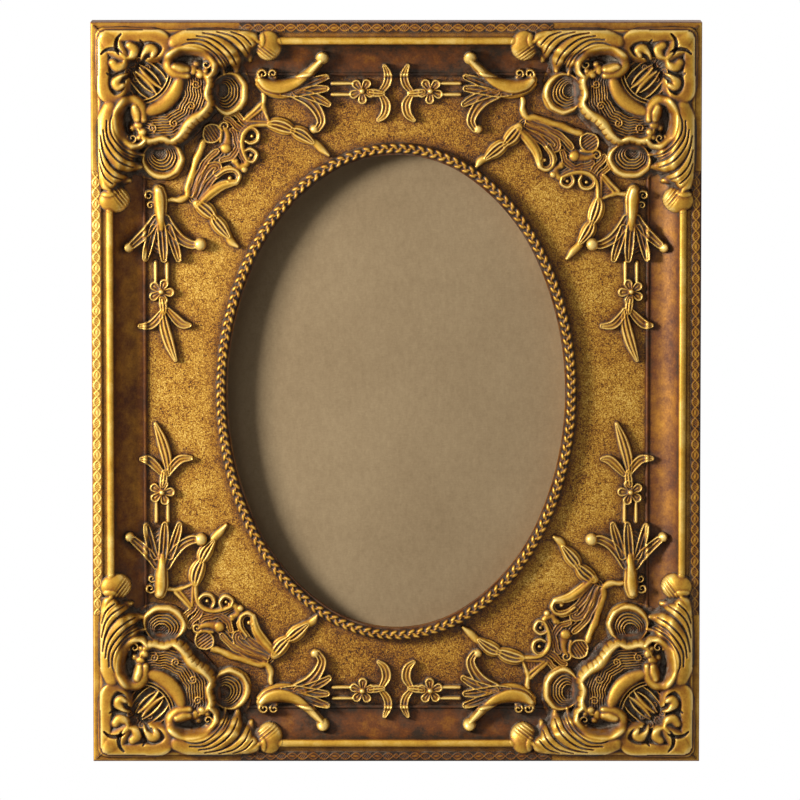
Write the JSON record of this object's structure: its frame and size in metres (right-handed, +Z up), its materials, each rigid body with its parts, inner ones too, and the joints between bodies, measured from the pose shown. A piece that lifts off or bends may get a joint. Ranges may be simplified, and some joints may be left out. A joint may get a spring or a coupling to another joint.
{
  "type": "oval picture frame",
  "caption": "Carved and gilded picture frame: four mitred mouldings and a flat panel round an oval opening, with cast shell corners, lattice and lily sprays; it hangs on a wall.",
  "frame": {"origin": "middle of the frame on the wall plane, which is the flat back of the mouldings", "axes": "+X to the right seen from the front, +Y into the wall, +Z up along the long edges; the front faces -Y"},
  "size_m": [0.5, 0.0511, 0.61],
  "materials": {
    "gilded_wood": "satin antique gilding",
    "gilded_casting": "satin antique gilding",
    "board": "matt",
    "zinc_steel": "satin zinc plate"
  },
  "bodies": {
    "frame": {"top_rail": "gilded_wood", "right_rail": "gilded_wood", "bottom_rail": "gilded_wood", "left_rail": "gilded_wood", "corner_nails": "zinc_steel", "oval_panel": "gilded_wood", "panel_screws": "zinc_steel", "oval_bead": "gilded_casting", "backing_board": "board", "corner_casting_tl": "gilded_casting", "corner_casting_tr": "gilded_casting", "corner_casting_br": "gilded_casting", "corner_casting_bl": "gilded_casting", "lattice_tl": "gilded_casting", "lattice_tr": "gilded_casting", "lattice_br": "gilded_casting", "lattice_bl": "gilded_casting", "lily_top_left": "gilded_casting", "lily_top_right": "gilded_casting", "lily_right_upper": "gilded_casting", "lily_right_lower": "gilded_casting", "lily_bottom_right": "gilded_casting", "lily_bottom_left": "gilded_casting", "lily_left_lower": "gilded_casting", "lily_left_upper": "gilded_casting", "button_screws": "zinc_steel", "hanger_strap_left": "zinc_steel", "hanger_strap_right": "zinc_steel", "hanger_screws": "zinc_steel"},
    "button_top": {"turn_button_top": "zinc_steel"},
    "button_bottom": {"turn_button_bottom": "zinc_steel"},
    "button_left_upper": {"turn_button_left_upper": "zinc_steel"},
    "button_left_lower": {"turn_button_left_lower": "zinc_steel"},
    "button_right_upper": {"turn_button_right_upper": "zinc_steel"},
    "button_right_lower": {"turn_button_right_lower": "zinc_steel"},
    "hanger_ring_left": {"hanger_ring_left": "zinc_steel"},
    "hanger_ring_right": {"hanger_ring_right": "zinc_steel"}
  },
  "joints": [
    {"name": "button_top_pivot", "type": "hinge", "parent": "frame", "child": "button_top", "pos_m": [0, -0.0059, 0.21], "axis": [0, 1, 0], "continuous": true},
    {"name": "button_bottom_pivot", "type": "hinge", "parent": "frame", "child": "button_bottom", "pos_m": [0, -0.0059, -0.21], "axis": [0, 1, 0], "continuous": true},
    {"name": "button_left_upper_pivot", "type": "hinge", "parent": "frame", "child": "button_left_upper", "pos_m": [-0.16, -0.0059, 0.12], "axis": [0, 1, 0], "continuous": true},
    {"name": "button_left_lower_pivot", "type": "hinge", "parent": "frame", "child": "button_left_lower", "pos_m": [-0.16, -0.0059, -0.12], "axis": [0, 1, 0], "continuous": true},
    {"name": "button_right_upper_pivot", "type": "hinge", "parent": "frame", "child": "button_right_upper", "pos_m": [0.16, -0.0059, 0.12], "axis": [0, 1, 0], "continuous": true},
    {"name": "button_right_lower_pivot", "type": "hinge", "parent": "frame", "child": "button_right_lower", "pos_m": [0.16, -0.0059, -0.12], "axis": [0, 1, 0], "continuous": true},
    {"name": "hanger_ring_left_hinge", "type": "hinge", "parent": "frame", "child": "hanger_ring_left", "pos_m": [-0.21658, -0.0038, 0.15], "axis": [0, 0, 1], "range_deg": [0, 175]},
    {"name": "hanger_ring_right_hinge", "type": "hinge", "parent": "frame", "child": "hanger_ring_right", "pos_m": [0.21658, -0.0038, 0.15], "axis": [0, 0, -1], "range_deg": [0, 175]}
  ]
}
